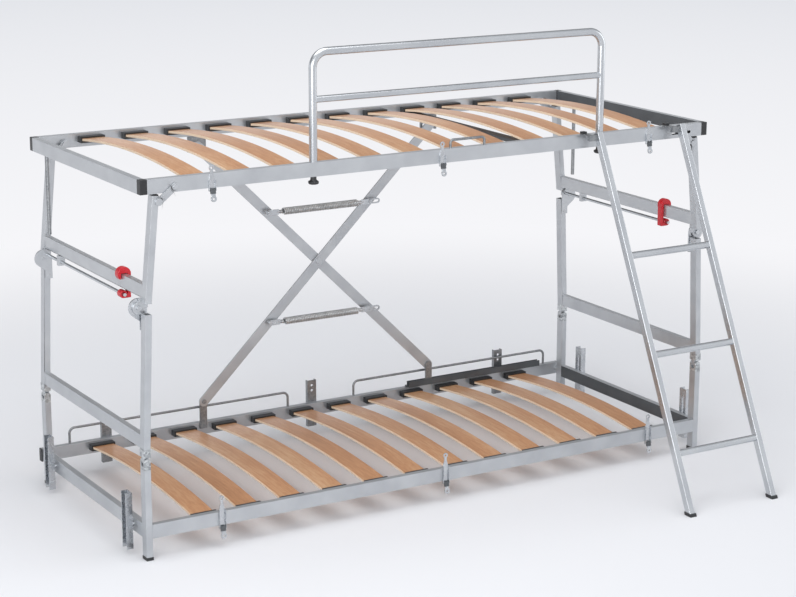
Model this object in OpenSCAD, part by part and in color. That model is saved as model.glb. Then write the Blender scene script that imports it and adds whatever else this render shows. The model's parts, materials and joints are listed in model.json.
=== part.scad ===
// Metal frame of a sofa bed that unfolds into a bunk bed.
// Frame while modelling: x runs along the bed with zero at its middle, y runs
// from the front rail's face to the back, z is up from the floor.

/* [Beds] */
// Length of both beds over the side rails
bed_len = 2000; // [1800:10:2200]
// Depth of both beds from front rail face to back rail face
bed_depth = 834; // [780:2:960]
// Height of the side and end rails
rail_h = 42; // [38:1:46]
// Thickness of the side and end rails
rail_t = 20; // [18:1:22]
// Wall of every square tube
wall = 2; // [1.5:0.1:2.5]
// Height of the lower rails' underside above the floor
lower_z = 66; // [60:1:72]
// Height of the upper rails' underside above the floor
upper_z = 1076; // [1074:1:1084]
// Length of each black corner piece along its rail
corner_len = 22; // [21:1:30]

/* [Slats] */
// Number of slats in each bed
slat_count = 12; // [8:1:13]
// Distance from one slat to the next
slat_pitch = 147; // [130:1:150]
// Width of a slat
slat_w = 72; // [60:1:80]
// Thickness of a slat
slat_t = 8; // [6:0.5:10]
// Rise of a slat's middle over its ends
slat_rise = 25; // [15:1:35]
// Depth of a slat holder from the rail inwards
holder_d = 26; // [22:1:34]

/* [Posts] */
// Width of a post along the bed
post_w = 20; // [18:1:22]
// Depth of a post across the bed
post_d = 30; // [28:1:32]
// Gap between the back posts and the back rail
back_gap = 17; // [16.5:0.5:20]
// Height of the lower pivot over the floor
hip_z = 299; // [296:1:310]
// Height of the knee over the floor
knee_z = 747; // [744:1:750]
// Height of the pivot on the upper rails over the floor
top_pivot_z = 1092; // [1088:1:1096]
// Distance of the lower pivots and knees outside the bed's ends
hip_out = 1; // [0:1:3]
// Distance of the upper pivots inside the bed's ends
top_pivot_in = 105; // [100:1:110]
// Radius of the fold's pivot pins
pin_r = 4; // [3:0.5:5]
// Height of the cross rails between the posts
cross_h = 40; // [36:1:44]

/* [Scissor brace] */
// Height of the brace's lower pivots over the floor
brace_z = 183; // [180:1:190]
// Height of the brace's upper pivots over the floor
brace_top_z = 1042; // [1036:1:1046]
// Distance of the brace's left pivots from the bed's middle
brace_x = 440; // [430:1:450]
// Width of a brace bar
bar_w = 34; // [28:1:36]
// Thickness of a brace bar
bar_t = 5; // [4:0.5:5]
// Distance of the spring studs from the brace's middle, along the bar
stud_out = 270; // [260:1:280]
// Outer diameter of a spring
coil_d = 25; // [22:1:26]
// Diameter of the spring wire
wire_d = 5.6; // [5:0.1:5.8]
// Number of curls in each spring
curls = 44; // [30:1:46]
// Distance from one curl to the next
curl_pitch = 6.4; // [6.3:0.1:6.6]

/* [Guard rail and ladder] */
// Diameter of the guard rail tube
guard_d = 24; // [22:1:28]
// Height of the guard rail's top over the upper rails
guard_rise = 331; // [280:1:360]
// Distance of the guard rail's left upright from the bed's left end
guard_left_in = 551; // [520:1:580]
// Distance of the guard rail's right upright from the bed's right end
guard_right_in = 425; // [410:1:440]
// Distance of the ladder's left stile from the bed's right end, at the floor
ladder_in = 416; // [405:1:425]
// Distance between the middles of the ladder's stiles
ladder_w = 325; // [300:1:330]
// Distance of the ladder's feet in front of the bed
ladder_reach = 500; // [420:1:560]
// Width of a ladder stile
stile_w = 20; // [18:1:22]
// Depth of a ladder stile
stile_d = 24; // [22:1:30]
// Diameter of a ladder rung
rung_d = 22; // [18:1:22]

/* [Hidden] */

// Number of straight steps in a drawn circle
$fn = 48;
// Colours as the photograph shows them
silver = "#a9adb2";
bright = "#c3c7cb";
galvanised = "#9a9c9e";
beech = "#d6a26e";
black = "#232426";
red = "#c2202c";
charcoal = "#4a4d50";

// Overrun of every cut past the face that it opens
cut = 1;
// Running clearance of a pin in its hole, on the radius
run = 0.05;
// Clearance between faces that slide or swing past each other
slip = 0.3;
// Clearance of a loose hole round its bolt, on the radius
loose = 0.5;
// Depth by which welded pieces reach into each other
weld = 1;

// Main lines of the two beds
rail_back = bed_depth - rail_t;
rail_mid = rail_t / 2;
back_mid = bed_depth - rail_mid;
upper_top = upper_z + rail_h;
lower_top = lower_z + rail_h;
half_len = bed_len / 2;
hip_x = half_len + hip_out;
top_pivot_x = half_len - top_pivot_in;
guard_left = guard_left_in - half_len;
guard_right = half_len - guard_right_in;
ladder_x = half_len - ladder_in;
post_back = rail_back - back_gap;
post_front = post_back - post_d;
post_half = post_w / 2;
leg_in = hip_x - post_half;

// Leg, knuckle and the foot under it
glide_h = 10;
glide_lip = 4;
glide_wall = 1;
knuckle_base = 11;
knuckle_seat = 13;
knuckle_z = hip_z - knuckle_seat - knuckle_base;
cheek_t = 8;
tongue_r = post_half - weld;
tube_start = 22;

// Lean of the posts: how far the tubes stand inside the line of the pivots
knee_in = 17;
top_in = 48;
knee_under = 15;
knee_over = 17;
post_head = 22;
cross_low = 37;
latch_low = 29;
cross_half = post_half - weld;
post_top_z = top_pivot_z - post_head;

// Knee plates and their pins
plate_t = 5.7;
knee_disc_r = 28;
knee_arm_r = 18;
knee_taper = 40;
knee_strap_w = 22;
knee_strap_h = 66;
rivet_r = 5;
rivet_h = 3;
head_r = 8;

// Straps that hang the upper bed in its posts
strap_w = 22;
strap_neck = 1;
strap_t = 5;
strap_gap = 0.5;
strap_run = 50;
strap_drop = 39;
strap_pad = 6;
back_strap_t = 6;
nut_r = 8;
nut_h = 5;
bolt_head_r = 7;
bolt_head_h = 4;
slot_half = 34;
slot_h = 9;

// Slat holder round a slat's end
holder_side = 5;
holder_h = 20;
holder_low = 4;
slat_fit = 0.2;
slat_seat = 6;
slat_drop = 23;

// Black end pieces of the back rail and spacers behind the back legs
back_over = 7;
plug_t = 4;
spacer_r = 7;

// Wall brackets outside the end rails and behind the back rail
arm_w = 34;
arm_d = 20;
arm_t = 3;
arm_low = 15;
arm_h = 173;
arm_front_y = 95;
arm_back_in = 134;
arm_spacer = 8;
arm_spacer_r = 8;
slot_w = 9;
slot_len = 60;
back_bracket_w = 34;
back_bracket_d = 14;
back_bracket_low = 20;
back_bracket_h = 165;
back_bracket_x = [223 - half_len, -14, half_len - 244];
bracket_hole_r = 4.5;
bracket_hole_step = 36;

// Wire hoops that keep the mattresses in place
hoop_r = 4;
hoop_bend = 18;
hoop_rise = 52;
hoop_x = [[89 - half_len, -114], [145, half_len - 51]];
small_hoop_x = [21, 143];
small_hoop_rise = 24;
small_hoop_bend = 10;

// Scissor brace
brace_span_z = brace_top_z - brace_z;
bar_len = sqrt(pow(2 * brace_x, 2) + pow(brace_span_z, 2));
brace_angle = atan(brace_span_z / (2 * brace_x));
brace_mid_z = brace_z + brace_span_z / 2;
bar_half = bar_w / 2;
bar_gap = 2;
bar_back = rail_back - bar_gap;
bar_b_y = bar_back - bar_t;
bar_a_y = bar_b_y - weld - bar_t;
boss_r = 11;
boss_t = 3;
foot_w = 26;
foot_low = 88;
track_before = 83;
track_end_in = 85;
track_x0 = brace_x - track_before;
track_x1 = half_len - track_end_in;
track_lift = 3;
track_h = 21;
track_d = 17;
track_wall = 2;
flange_d = 14;
flange_h = 6;
shoe_len = 60;
shoe_h = 14;
shoe_fit = 1;
seat_w = 64;
seat_d = 7;
seat_low = 18;
seat_pocket_half = 24;
seat_stud = 8;

// Springs and the plates at their ends
coil_y = bar_a_y - coil_d / 2 - weld;
wire_r = wire_d / 2;
coil_r = coil_d / 2 - wire_r;
coil_len = curls * curl_pitch;
rings_per_curl = 8;
wire_sides = 6;
lead_in = 9;
lead_rings = 5;
stud_r = 4;
stud_head_r = 7;
stud_head_h = 3;
eye_t = 4;
eye_w = 18;
eye_slot = 28;
eye_end = 9;
spring_x = stud_out * cos(brace_angle);
spring_rise = stud_out * sin(brace_angle);
spring_half = coil_len / 2 + lead_in + wire_d;

// Mattress and cover clips on the front rails
clip_w = 18;
clip_t = 3;
clip_hole_r = 4;
clip_hole_drop = 9;
clip_barrel_r = 3.6;
clip_pin_r = 2;
clip_cheek = 3;
clip_reach = 7;
lever_t = 3;
upper_clip_x = [219 - half_len, -15, half_len - 239];
upper_clip_top = 1142;
upper_clip_low = 1066;
upper_lever_z = 1072;
upper_lever_len = 34;
lower_clip_x = [230 - half_len, 5, half_len - 203];
lower_clip_top = 158;
lower_clip_low = 56;
lower_lever_z = 62;
lower_lever_len = 30;
lever_angle = 12;

// Latch rod, its handle and its guide on the upper cross rail
handle_y = 182;
handle_r = 21;
handle_t = 24;
handle_lip = 20;
handle_skirt = 16;
handle_edge = 2;
rod_over = 8;
rod_r = 5;
rod_in = 16;
rod_drop = 20;
rod_nose = 1;
guide_in = 125;
guide_y = post_front - guide_in;
guide_t = 14;
guide_w = 22;
ring_r = 12;

// Struts and cross member of the upper bed
strut_r = 6;
strut_in = 10;
strut_back = 112;
strut_x = half_len - strut_in;
strut_y = bed_depth - strut_back;
strut_gap = 13;
member_x = 375;
member_w = 34;
member_h = 12;

// Guard rail
guard_r = guard_d / 2;
guard_bend = 46;
guard_cross_drop = 137;
guard_cross_r = 10;
plug_h = 12;
spigot_r = 6;
spigot_len = 62;
knob_r = 16;
knob_neck_r = 10;
knob_h = 23;
knob_base_h = 13;

// Ladder
stile_half = stile_w / 2;
ladder_top_y = -31;
ladder_top_z = 1127;
ladder_sway = 43;
ladder_run = ladder_reach + ladder_top_y;
ladder_tilt = atan(ladder_run / ladder_top_z);
ladder_skew = atan(ladder_sway / ladder_top_z);
ladder_len = ladder_top_z / (cos(ladder_tilt) * cos(ladder_skew));
rung_z = [180, 468, 760];
foot_cap_h = 10;
foot_cap_wall = 2;
foot_reach = 40;
hook_out = 30;
hook_w = 16;
hook_t = 3;
hook_low = 24;
hook_front = -42;
hook_d = 16;
peg_r = 4;
peg_len = 10;
tip_len = 16;
tip_h = 6;

// Outermost faces front and back, and the shift that centres the whole
front_y = -ladder_reach - (stile_d / 2 + foot_cap_wall) / cos(ladder_tilt);
back_y = bed_depth + back_bracket_d;
shift_y = -(front_y + back_y) / 2;
rod_x = hip_x - rod_in;
rod_z = knee_z + latch_low - rod_drop;
rail_top_z = knee_z + latch_low + cross_h;
shift = [0, shift_y, 0];

// Moves a piece from the modelling frame to the middle of the whole object
module placed() {
    translate(shift) children();
}

// The same piece on the left as drawn and mirrored to the right
module both_sides() {
    children();
    mirror([1, 0, 0]) children();
}

// The same piece at the front post as drawn and mirrored to the back post
module both_posts() {
    children();
    translate([0, post_back, 0]) mirror([0, 1, 0]) children();
}

// Box between two corners
module box(lo, hi) {
    translate(lo) cube(hi - lo);
}

// Square tube along the bed, open at both ends
module tube_x(lo, hi) {
    difference() {
        box(lo, hi);
        box([lo.x - cut, lo.y + wall, lo.z + wall], [hi.x + cut, hi.y - wall, hi.z - wall]);
    }
}

// Square tube across the bed, open at both ends
module tube_y(lo, hi) {
    difference() {
        box(lo, hi);
        box([lo.x + wall, lo.y - cut, lo.z + wall], [hi.x - wall, hi.y + cut, hi.z - wall]);
    }
}

// Round piece whose axis runs across the bed from y0 to y1
module disc_y(x, z, y0, y1, r) {
    translate([x, y0, z]) rotate([-90, 0, 0]) cylinder(r = r, h = y1 - y0);
}

// Round rod between two points
module rod(p0, p1, r) {
    v = p1 - p0;
    translate(p0) rotate([0, acos(v.z / norm(v)), atan2(v.y, v.x)]) cylinder(r = r, h = norm(v));
}

// Post tube that leans in the plane of the end frame, at the front post's depth
module lean_tube(x0, z0, x1, z1) {
    run_len = norm([x1 - x0, z1 - z0]);
    translate([x0, 0, z0]) rotate([0, atan2(x1 - x0, z1 - z0), 0]) difference() {
        box([-post_half, 0, 0], [post_half, post_d, run_len]);
        box([wall - post_half, wall, -cut], [post_half - wall, post_d - wall, run_len + cut]);
    }
}

// Flat bar in the plane of the brace, with rounded ends, from the middle outwards
module flat_bar(y0, half_length) {
    box([-half_length, y0, -bar_half], [half_length, y0 + bar_t, bar_half]);
    for (side = [-1, 1]) disc_y(side * half_length, 0, y0, y0 + bar_t, bar_half);
}

// Wire hoop that stands on a rail, with bends at its upper corners
module wire_hoop(x0, x1, y, z0, rise, r, bend) {
    z1 = z0 + rise;
    rod([x0, y, z0], [x0, y, z1 - bend], r);
    rod([x1, y, z0], [x1, y, z1 - bend], r);
    rod([x0 + bend, y, z1], [x1 - bend, y, z1], r);
    translate([x0 + bend, y, z1 - bend]) rotate([90, 0, 0]) rotate([0, 0, 90])
        rotate_extrude(angle = 90) translate([bend, 0]) circle(r = r);
    translate([x1 - bend, y, z1 - bend]) rotate([90, 0, 0])
        rotate_extrude(angle = 90) translate([bend, 0]) circle(r = r);
}

// Hole for the pivot pin on the left and slot on the right, through a long rail
module rail_pivot_cuts(y0) {
    y1 = y0 + rail_t;
    disc_y(-top_pivot_x, top_pivot_z, y0 - cut, y1 + cut, pin_r + run);
    for (side = [-1, 1])
        disc_y(top_pivot_x + side * slot_half, top_pivot_z, y0 - cut, y1 + cut, slot_h / 2);
    box([top_pivot_x - slot_half, y0 - cut, top_pivot_z - slot_h / 2],
        [top_pivot_x + slot_half, y1 + cut, top_pivot_z + slot_h / 2]);
}

// Middle of each slat along the bed
slat_x = [for (i = [0 : slat_count - 1]) (i - (slat_count - 1) / 2) * slat_pitch];
slat_y0 = rail_t + slat_seat;
slat_reach = (bed_depth - 2 * slat_y0) / 2;
slat_radius = (pow(slat_reach, 2) + pow(slat_rise, 2)) / (2 * slat_rise);

// Arched strip across the bed; grow widens it all round for the holder's pocket
module slat_shape(x, top, grow) {
    half_w = slat_w / 2 + grow;
    reach = slat_reach + grow;
    translate([x + half_w, bed_depth / 2, top - slat_drop]) rotate([90, 0, -90])
        linear_extrude(height = 2 * half_w) intersection() {
            translate([0, slat_rise - slat_radius]) difference() {
                circle(r = slat_radius + slat_t + grow, $fn = 720);
                circle(r = slat_radius - grow, $fn = 720);
            }
            translate([-reach, -slat_rise]) square([2 * reach, 3 * slat_rise]);
        }
}

// All slats of one bed whose rails end at height top
module slat_set(top) {
    for (x = slat_x) slat_shape(x, top, 0);
}

// All slat holders of one bed, on both long rails
module holder_set(top) {
    half_w = slat_w / 2 + holder_side;
    low = top - slat_drop - holder_low;
    for (x = slat_x) difference() {
        union() {
            box([x - half_w, rail_t, low], [x + half_w, rail_t + holder_d, low + holder_h]);
            box([x - half_w, rail_back - holder_d, low], [x + half_w, rail_back, low + holder_h]);
        }
        slat_shape(x, top, slat_fit);
    }
}

// Lower bed: rails, legs and what is fixed to them
module lower_front_rail() {
    color(silver) placed() tube_x([-leg_in, 0, lower_z], [leg_in, rail_t, lower_top]);
}

module lower_back_rail() {
    end_x = hip_x + back_over;
    color(silver) placed() tube_x([-end_x, rail_back, lower_z], [end_x, bed_depth, lower_top]);
}

module lower_end_rails() {
    color(silver) placed() both_sides()
        tube_y([-hip_x - post_half, post_d, lower_z], [post_half - hip_x, post_front, lower_top]);
}

module legs() {
    mid_z = lower_z + rail_h / 2;
    color(silver) placed() both_sides() {
        both_posts() difference() {
            box([-hip_x - post_half, 0, glide_lip], [post_half - hip_x, post_d, knuckle_z]);
            box([wall - hip_x - post_half, wall, glide_lip - cut],
                [post_half - hip_x - wall, post_d - wall, knuckle_z + cut]);
        }
        disc_y(-hip_x, mid_z, post_back, rail_back, spacer_r);
    }
}

module leg_knuckles() {
    seat_z = hip_z - knuckle_seat;
    color(galvanised) placed() both_sides() both_posts() {
        box([-hip_x - post_half, 0, knuckle_z], [post_half - hip_x, post_d, seat_z]);
        for (y = [0, post_d - cheek_t]) {
            box([-hip_x - post_half, y, seat_z], [post_half - hip_x, y + cheek_t, hip_z]);
            disc_y(-hip_x, hip_z, y, y + cheek_t, post_half);
        }
        disc_y(-hip_x, hip_z, -rivet_h, post_d, pin_r);
        disc_y(-hip_x, hip_z, -rivet_h, 0, rivet_r);
    }
}

module lower_slats() {
    color(beech) placed() slat_set(lower_top);
}

module lower_slat_holders() {
    color(black) placed() holder_set(lower_top);
}

module lower_plastic_caps() {
    out = hip_x + post_half;
    end_x = hip_x + back_over;
    color(black) placed() both_sides() {
        both_posts() difference() {
            box([-out - glide_wall, -glide_wall, 0],
                [2 * post_half - out + glide_wall, post_d + glide_wall, glide_h]);
            box([-out, 0, glide_lip], [2 * post_half - out, post_d, glide_h + cut]);
        }
        box([-end_x - plug_t, rail_back, lower_z], [-end_x, bed_depth, lower_top]);
    }
}

// Upright channel with a slot, its open side towards the bed's end
module arm_bracket(y) {
    out = hip_x + post_half;
    x1 = -out - arm_spacer;
    x0 = x1 - arm_d;
    slot_z = arm_low + arm_h - slot_len;
    difference() {
        box([x0, y - arm_w / 2, arm_low], [x1, y + arm_w / 2, arm_low + arm_h]);
        box([x0 - cut, y - arm_w / 2 + arm_t, arm_low - cut],
            [x1 - arm_t, y + arm_w / 2 - arm_t, arm_low + arm_h + cut]);
        box([x0 - cut, y - slot_w / 2, slot_z - slot_len / 2],
            [x1 + cut, y + slot_w / 2, slot_z + slot_len / 2]);
    }
    translate([-out - arm_spacer, y, lower_z + rail_h / 2]) rotate([0, 90, 0])
        cylinder(r = arm_spacer_r, h = arm_spacer);
}

module arm_brackets() {
    color(galvanised) placed() both_sides() {
        arm_bracket(arm_front_y);
        arm_bracket(bed_depth - arm_back_in);
    }
}

module back_brackets() {
    top = back_bracket_low + back_bracket_h;
    color(galvanised) placed() for (x = back_bracket_x) difference() {
        box([x - back_bracket_w / 2, bed_depth, back_bracket_low],
            [x + back_bracket_w / 2, bed_depth + back_bracket_d, top]);
        box([x - back_bracket_w / 2 + arm_t, bed_depth + arm_t, back_bracket_low - cut],
            [x + back_bracket_w / 2 - arm_t, bed_depth + back_bracket_d + cut, top + cut]);
        for (i = [1, 2])
            disc_y(x, top - i * bracket_hole_step / 2, bed_depth - cut, bed_depth + 2 * arm_t, bracket_hole_r);
    }
}

module mattress_hoops() {
    color(galvanised) placed() for (x = hoop_x)
        wire_hoop(x[0], x[1], back_mid, lower_top, hoop_rise, hoop_r, hoop_bend);
}

module brace_track() {
    low = lower_top + track_lift;
    y0 = rail_back - track_d;
    color(charcoal) placed() {
        difference() {
            box([track_x0, y0, low], [track_x1, rail_back, low + track_h]);
            box([track_x0 - cut, y0 + track_wall, low + track_wall],
                [track_x1 + cut, rail_back - track_wall, low + track_h + cut]);
        }
        box([track_x0, rail_back, lower_top], [track_x1, rail_back + flange_d, lower_top + flange_h]);
    }
}

module brace_foot() {
    half_w = foot_w / 2;
    color(galvanised) placed() {
        box([-brace_x - half_w, bar_b_y, foot_low], [half_w - brace_x, bar_back, brace_z]);
        box([-brace_x - half_w, bar_back, foot_low], [half_w - brace_x, rail_back, lower_top]);
        disc_y(-brace_x, brace_z, bar_b_y, bar_back, half_w);
        disc_y(-brace_x, brace_z, bar_a_y - slip - boss_t, bar_b_y, pin_r);
        disc_y(-brace_x, brace_z, bar_a_y - slip - boss_t, bar_a_y - slip, head_r);
    }
}

// Lower half of an end frame, drawn on the left
module lower_frame_shape() {
    tube_z = hip_z + tube_start;
    top_z = knee_z - knee_under;
    mid_share = (cross_low + cross_h / 2 - tube_start) / (top_z - tube_z);
    cross_x = -hip_x + knee_in * mid_share;
    both_posts() {
        lean_tube(-hip_x, tube_z, knee_in - hip_x, top_z);
        difference() {
            union() {
                disc_y(-hip_x, hip_z, cheek_t + slip, post_d - cheek_t - slip, tongue_r);
                box([-hip_x - tongue_r, cheek_t + slip, hip_z],
                    [tongue_r - hip_x, post_d - cheek_t - slip, tube_z + wall]);
            }
            disc_y(-hip_x, hip_z, 0, post_d, pin_r + run);
        }
    }
    tube_y([cross_x - cross_half, post_d - weld, hip_z + cross_low],
           [cross_x + cross_half, post_front + weld, hip_z + cross_low + cross_h]);
}

module left_lower_frame() {
    color(silver) placed() lower_frame_shape();
}

module right_lower_frame() {
    color(silver) placed() mirror([1, 0, 0]) lower_frame_shape();
}

// Web between a knee disc and its strap; its edge is tangent to the disc
module knee_web(y0, y1) {
    foot = [knee_in - knee_strap_w / 2, -knee_taper];
    a = atan2(foot.y, foot.x) - acos(knee_disc_r / norm(foot));
    translate([-hip_x, y1, knee_z]) rotate([90, 0, 0]) linear_extrude(height = y1 - y0)
        polygon([[0, 0], knee_disc_r * [cos(a), sin(a)], foot, [knee_in, -knee_taper], [knee_in, 0]]);
}

// Plates on the lower posts that carry the knee pins, drawn on the left
module knee_plate_shape() {
    y0 = post_d + 2 * slip + plate_t;
    y1 = y0 + plate_t;
    post_x = knee_in - hip_x;
    strap_x = post_x - knee_strap_w / 2;
    low = knee_z - knee_strap_h;
    both_posts() {
        disc_y(-hip_x, knee_z, y0, y1, knee_disc_r);
        knee_web(y0, y1);
        box([strap_x, y0, low], [strap_x + knee_strap_w, y1, knee_z]);
        box([post_x - post_half + wall, post_d, low + wall],
            [post_x + post_half - 2 * wall, y0, knee_z - knee_under - wall]);
        disc_y(post_x, low + knee_arm_r / 2, y1, y1 + weld, rivet_r);
        disc_y(-hip_x, knee_z, post_d - nut_h, y1 + weld, pin_r);
        disc_y(-hip_x, knee_z, post_d - nut_h, post_d, nut_r);
    }
}

module left_knee_plates() {
    color(galvanised) placed() knee_plate_shape();
}

module right_knee_plates() {
    color(galvanised) placed() mirror([1, 0, 0]) knee_plate_shape();
}

// Middle of the upper cross rail along the bed, on the left
function upper_cross_x() =
    let (low = knee_z + knee_over, high = post_top_z)
    -hip_x + knee_in + (top_in - knee_in) * (knee_z + latch_low + cross_h / 2 - low) / (high - low);

// Upper half of an end frame with the arms that turn on the knee pins
module upper_frame_shape() {
    y0 = post_d + slip;
    y1 = y0 + plate_t;
    x = upper_cross_x();
    arm_z = knee_z + latch_low;
    both_posts() {
        lean_tube(knee_in - hip_x, knee_z + knee_over, top_in - hip_x, post_top_z);
        difference() {
            union() {
                disc_y(-hip_x, knee_z, y0, y1, knee_arm_r);
                box([-hip_x, y0, knee_z], [x + cross_half - wall / 2, y1, arm_z + weld]);
            }
            disc_y(-hip_x, knee_z, y0 - cut, y1 + cut, pin_r + run);
        }
    }
    tube_y([x - cross_half, post_d - weld, arm_z], [x + cross_half, post_front + weld, rail_top_z]);
}

module left_upper_frame() {
    color(silver) placed() upper_frame_shape();
}

module right_upper_frame() {
    color(silver) placed() mirror([1, 0, 0]) upper_frame_shape();
}

// Strap from the pivot on the rail down to the post's head
module strap(y0, y1) {
    tilt = atan2(strap_run, strap_drop);
    translate([-top_pivot_x, 0, top_pivot_z]) rotate([0, tilt, 0])
        box([strap_neck - strap_w / 2, y0, -norm([strap_run, strap_drop])], [strap_w / 2 - strap_neck, y1, 0]);
    disc_y(-top_pivot_x, top_pivot_z, y0, y1, strap_w / 2);
    disc_y(-top_pivot_x - strap_run, top_pivot_z - strap_drop, y0, y1, strap_w / 2);
}

// Hanging straps with their bolts and the guide of the latch rod, on the left
module hinge_plate_shape() {
    front = -strap_gap - strap_t;
    back = post_back + back_strap_t;
    nut_y = rail_t + slip;
    pad_x = -top_pivot_x - strap_run;
    pad_z = top_pivot_z - strap_drop;
    strap(front, -strap_gap);
    box([pad_x - strap_pad, -strap_gap - weld, pad_z - strap_pad], [pad_x, 0, pad_z + strap_pad]);
    disc_y(-top_pivot_x, top_pivot_z, front - bolt_head_h, front, bolt_head_r);
    disc_y(-top_pivot_x, top_pivot_z, -strap_gap, nut_y, pin_r);
    disc_y(-top_pivot_x, top_pivot_z, nut_y, nut_y + nut_h, nut_r);
    strap(post_back, back);
    disc_y(-top_pivot_x, top_pivot_z, back, rail_back - slip, nut_r);
    disc_y(-top_pivot_x, top_pivot_z, rail_back - slip, bed_depth + slip, pin_r);
    disc_y(-top_pivot_x, top_pivot_z, bed_depth + slip, bed_depth + slip + nut_h, nut_r);
    difference() {
        box([-rod_x - guide_w / 2, guide_y, rod_z - guide_w / 2],
            [guide_w / 2 - rod_x, guide_y + guide_t, knee_z + latch_low]);
        disc_y(-rod_x, rod_z, guide_y - cut, guide_y + guide_t + cut, rod_r + run);
    }
}

module left_hinge_plates() {
    color(galvanised) placed() hinge_plate_shape();
}

module right_hinge_plates() {
    color(galvanised) placed() mirror([1, 0, 0]) hinge_plate_shape();
}

// Round handle that straddles the cross rail and holds the latch rod
module handle_shape() {
    x = upper_cross_x();
    y0 = handle_y - handle_t / 2;
    y1 = handle_y + handle_t / 2;
    low = knee_z + latch_low;
    dome_z = rail_top_z + handle_lip - handle_r;
    difference() {
        union() {
            disc_y(x, dome_z, y0, y1, handle_r);
            disc_y(-rod_x, rod_z, y0, y1, ring_r);
            box([-rod_x, y0, rod_z - ring_r], [x + handle_r - handle_edge, y1, rod_z]);
            box([x + cross_half + slip, y0, rod_z - ring_r], [x + handle_r - handle_edge, y1, dome_z]);
        }
        box([x - handle_r - cut, y0 - cut, low], [x - cross_half, y1 + cut, rail_top_z - handle_skirt]);
        box([x - cross_half - slip, y0 - cut, low - slip], [x + cross_half + slip, y1 + cut, rail_top_z + slip]);
        disc_y(-rod_x, rod_z, y0 - cut, y1 + cut, rod_r);
    }
}

// Latch rod from the handle to its nose at the back knee
module latch_rod_shape() {
    y0 = handle_y - handle_t / 2;
    nose = post_front - 2 * slip - 2 * plate_t - rod_nose;
    disc_y(-rod_x, rod_z, y0 - rod_over, nose, rod_r);
}

module left_handle() {
    color(red) placed() handle_shape();
}

module right_handle() {
    color(red) placed() mirror([1, 0, 0]) handle_shape();
}

module left_latch_rod() {
    color(galvanised) placed() latch_rod_shape();
}

module right_latch_rod() {
    color(galvanised) placed() mirror([1, 0, 0]) latch_rod_shape();
}

// Middle of each ladder hook along the bed
hook_x = [for (i = [0, 1]) ladder_x + i * ladder_w - ladder_sway - hook_out];

module upper_front_rail() {
    end_x = half_len - corner_len;
    color(silver) placed() difference() {
        tube_x([-end_x, 0, upper_z], [end_x, rail_t, upper_top]);
        rail_pivot_cuts(0);
        for (x = [guard_left, guard_right])
            translate([x, rail_mid, upper_z - cut]) cylinder(r = spigot_r + run, h = rail_h + 2 * cut);
        for (x = hook_x)
            translate([x, rail_mid, upper_top - wall - cut]) cylinder(r = peg_r + loose, h = wall + 2 * cut);
    }
}

module upper_back_rail() {
    end_x = half_len - corner_len;
    color(silver) placed() difference() {
        tube_x([-end_x, rail_back, upper_z], [end_x, bed_depth, upper_top]);
        rail_pivot_cuts(rail_back);
    }
}

module upper_end_rails() {
    color(silver) placed() both_sides()
        tube_y([-half_len, corner_len, upper_z], [rail_t - half_len, bed_depth - corner_len, upper_top]);
}

// Black corner piece that joins a long rail and an end rail, at the left front
module corner_shape() {
    box([-half_len, 0, upper_z], [corner_len - half_len, rail_t, upper_top]);
    box([-half_len, rail_t, upper_z], [rail_t - half_len, corner_len, upper_top]);
}

module upper_corner_plugs() {
    color(black) placed() both_sides() {
        corner_shape();
        translate([0, bed_depth, 0]) mirror([0, 1, 0]) corner_shape();
    }
}

module upper_slats() {
    color(beech) placed() slat_set(upper_top);
}

module upper_slat_holders() {
    color(black) placed() holder_set(upper_top);
}

module upper_cross_member() {
    color(charcoal) placed() box([member_x - member_w / 2, rail_t, upper_z + wall],
        [member_x + member_w / 2, rail_back, upper_z + wall + member_h]);
}

module stop_struts() {
    color(galvanised) placed() both_sides()
        rod([-strut_x, strut_y, rail_top_z + strut_gap], [-strut_x, strut_y, upper_z], strut_r);
}

module rail_hoop() {
    color(galvanised) placed() wire_hoop(small_hoop_x[0], small_hoop_x[1], rail_mid, upper_top,
        small_hoop_rise, hoop_r, small_hoop_bend);
}

// Seats under the upper back rail that the brace's upper studs push up into
module brace_seats() {
    y0 = bar_back + slip;
    pocket_top = brace_top_z + pin_r + slip;
    color(galvanised) placed() both_sides() {
        difference() {
            box([-brace_x - seat_w / 2, y0, brace_top_z - seat_low],
                [seat_w / 2 - brace_x, y0 + seat_d, upper_z]);
            box([-brace_x - seat_pocket_half, y0 - cut, brace_top_z - seat_low - cut],
                [seat_pocket_half - brace_x, y0 + seat_d + cut, pocket_top]);
        }
        box([-brace_x - seat_w / 2, rail_back, upper_z - slip], [seat_w / 2 - brace_x, y0 + seat_d, upper_z]);
    }
}

module guard_rail() {
    top = upper_top + guard_rise - guard_r;
    cross_z = top - guard_cross_drop;
    color(bright) placed() {
        difference() {
            wire_hoop(guard_left, guard_right, rail_mid, upper_top, top - upper_top, guard_r, guard_bend);
            wire_hoop(guard_left, guard_right, rail_mid, upper_top - cut, top - upper_top + cut,
                guard_r - wall, guard_bend);
        }
        difference() {
            rod([guard_left, rail_mid, cross_z], [guard_right, rail_mid, cross_z], guard_cross_r);
            for (x = [guard_left, guard_right]) rod([x, rail_mid, upper_top], [x, rail_mid, top], guard_r);
        }
        for (x = [guard_left, guard_right]) {
            rod([x, rail_mid, upper_top - spigot_len], [x, rail_mid, upper_top], spigot_r);
            rod([x, rail_mid, upper_top], [x, rail_mid, upper_top + plug_h], guard_r - wall / 2);
        }
    }
}

// Clamp knob under the rail, turning on the guard rail's spigot
module knob_shape(x) {
    top = upper_z - slip;
    translate([x, rail_mid, top - knob_h]) difference() {
        union() {
            cylinder(r = knob_neck_r, h = knob_h);
            cylinder(r = knob_r, h = knob_base_h);
        }
        translate([0, 0, -cut]) cylinder(r = spigot_r + run, h = knob_h + 2 * cut);
    }
}

module left_knob() {
    color(black) placed() knob_shape(guard_left);
}

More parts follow.
